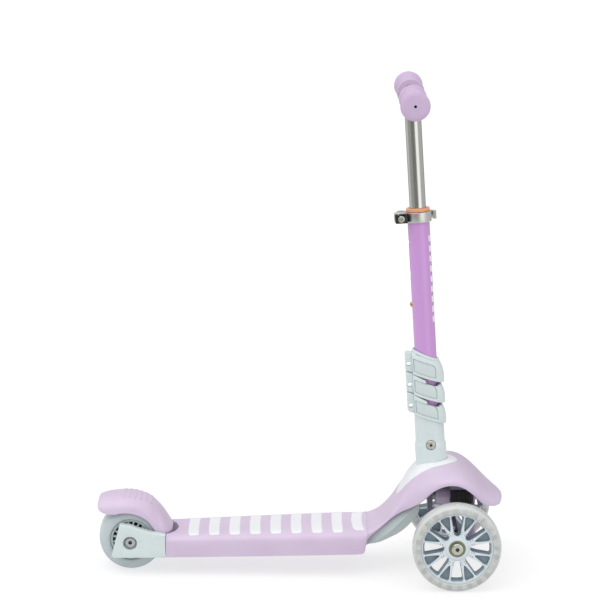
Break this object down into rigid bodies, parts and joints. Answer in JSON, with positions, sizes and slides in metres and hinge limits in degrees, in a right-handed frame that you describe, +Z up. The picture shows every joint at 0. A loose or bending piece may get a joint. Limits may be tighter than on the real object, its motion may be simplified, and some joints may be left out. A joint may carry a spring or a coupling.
{
  "type": "kick scooter",
  "caption": "Child's lean-to-steer kick scooter with a wide deck, two large front wheels on a rolling truck, a rear foot brake and a height-adjustable stem.",
  "frame": {"origin": "on the ground, in the middle of the overall box", "axes": "+X forward, +Y to the rider's left, +Z up"},
  "size_m": [0.56, 0.276, 0.6778],
  "materials": {
    "deck_plastic": "satin moulded",
    "mint_plastic": "satin moulded",
    "wheel_core": "satin moulded",
    "clear_tyre": "translucent polyurethane",
    "rear_tyre": "polyurethane",
    "grip_rubber": "soft matt",
    "black_rubber": "fluted",
    "stem_paint": "gloss powder coat",
    "polished_steel": "polished",
    "zinc_steel": "zinc plated",
    "bearing_steel": "yellow zinc",
    "aluminium": "die cast",
    "copper_bush": "smooth",
    "brass": "polished",
    "black_plastic": "satin",
    "white_paint": "printed",
    "spring_steel": "bright"
  },
  "bodies": {
    "frame": {"deck_and_hood": "deck_plastic", "deck_grip_bars": "mint_plastic", "under_shell": "mint_plastic", "head_cap": "mint_plastic", "rear_bracket": "mint_plastic", "rear_axle_bolt": "zinc_steel", "rear_axle_nut": "zinc_steel", "rear_axle_spacers": "zinc_steel", "fender_hinge_pins": "zinc_steel", "fender_springs": "spring_steel", "truck_bracket": "aluminium", "steering_peg": "zinc_steel", "pivot_shaft": "zinc_steel", "roll_rubbers": "black_rubber", "stem_socket": "mint_plastic", "socket_bolt": "zinc_steel", "stem_tube": "stem_paint", "tube_stripes": "white_paint", "claw_sleeve": "mint_plastic", "accessory_flange": "mint_plastic", "clamp_collar": "aluminium", "clamp_block": "black_plastic", "clamp_screw": "zinc_steel", "lever_pin": "zinc_steel", "mast_bush": "copper_bush"},
    "truck": {"truck_beam": "deck_plastic"},
    "tie_rod": {"tie_rod": "zinc_steel"},
    "rear_wheel": {"rear_wheel_core": "wheel_core", "rear_tyre": "rear_tyre", "rear_bearings": "bearing_steel"},
    "brake": {"brake_fender": "deck_plastic", "brake_pad": "zinc_steel"},
    "handlebar": {"mast": "polished_steel", "mast_guide": "black_plastic", "crossbar": "polished_steel", "grip_left": "grip_rubber", "grip_right": "grip_rubber", "bar_end_plugs": "black_plastic"},
    "height_button": {"snap_button": "brass"},
    "lever": {"clamp_lever": "aluminium"},
    "steer_left": {"knuckle_left": "deck_plastic", "kingpin_left": "zinc_steel", "front_axle_bolt_left": "zinc_steel", "front_axle_nut_left": "zinc_steel", "bearing_sleeves_left": "zinc_steel"},
    "front_wheel_left": {"front_wheel_core_left": "wheel_core", "front_tyre_left": "clear_tyre", "front_bearings_left": "bearing_steel", "led_ring_left": "white_paint"},
    "steer_right": {"knuckle_right": "deck_plastic", "kingpin_right": "zinc_steel", "front_axle_bolt_right": "zinc_steel", "front_axle_nut_right": "zinc_steel", "bearing_sleeves_right": "zinc_steel"},
    "front_wheel_right": {"front_wheel_core_right": "wheel_core", "front_tyre_right": "clear_tyre", "front_bearings_right": "bearing_steel", "led_ring_right": "white_paint"}
  },
  "joints": [
    {"name": "lean", "type": "hinge", "parent": "frame", "child": "truck", "pos_m": [0.215, 0, 0.1], "axis": [1, 0, 0], "range_deg": [-10, 10], "stiffness_Nm_per_rad": 40, "deforming": ["roll_rubbers"]},
    {"name": "tie_rod_slide", "type": "slide", "parent": "truck", "child": "tie_rod", "axis": [0, 1, 0], "range_m": [-0.0046, 0.0046]},
    {"name": "rear_wheel_spin", "type": "hinge", "parent": "frame", "child": "rear_wheel", "pos_m": [-0.234, 0, 0.045], "axis": [0, 1, 0], "continuous": true},
    {"name": "brake_press", "type": "hinge", "parent": "frame", "child": "brake", "pos_m": [-0.191, 0, 0.052], "axis": [0, -1, 0], "range_deg": [0, 3.5], "stiffness_Nm_per_rad": 6, "springref_deg": -1.72},
    {"name": "height", "type": "slide", "parent": "frame", "child": "handlebar", "axis": [-0.0605, 0, 0.9982], "range_m": [0, 0.086], "deforming": ["snap_button"]},
    {"name": "button_press", "type": "slide", "parent": "handlebar", "child": "height_button", "axis": [0.9982, 0, 0.0605], "range_m": [0, 0.0046], "stiffness_N_per_m": 900, "springref_m": -0.001},
    {"name": "clamp_lever", "type": "hinge", "parent": "frame", "child": "lever", "pos_m": [0.13795, 0.014, 0.49143], "axis": [-0.0605, 0, 0.9982], "range_deg": [0, 140]},
    {"name": "steer_left", "type": "hinge", "parent": "truck", "child": "steer_left", "pos_m": [0.23, 0.094, 0.08], "axis": [0, 0, 1], "range_deg": [-11.7, 11.7]},
    {"name": "front_wheel_spin_left", "type": "hinge", "parent": "steer_left", "child": "front_wheel_left", "pos_m": [0.212, 0.122, 0.06], "axis": [0, 1, 0], "continuous": true},
    {"name": "steer_right", "type": "hinge", "parent": "truck", "child": "steer_right", "pos_m": [0.23, -0.094, 0.08], "axis": [0, 0, 1], "range_deg": [-11.7, 11.7]},
    {"name": "front_wheel_spin_right", "type": "hinge", "parent": "steer_right", "child": "front_wheel_right", "pos_m": [0.212, -0.122, 0.06], "axis": [0, 1, 0], "continuous": true}
  ],
  "couplings": [
    {"joint": "tie_rod_slide", "follows": "lean", "m_per_rad": -0.0255},
    {"joint": "steer_left", "follows": "lean", "ratio": 1.1591},
    {"joint": "steer_right", "follows": "lean", "ratio": 1.1591}
  ]
}
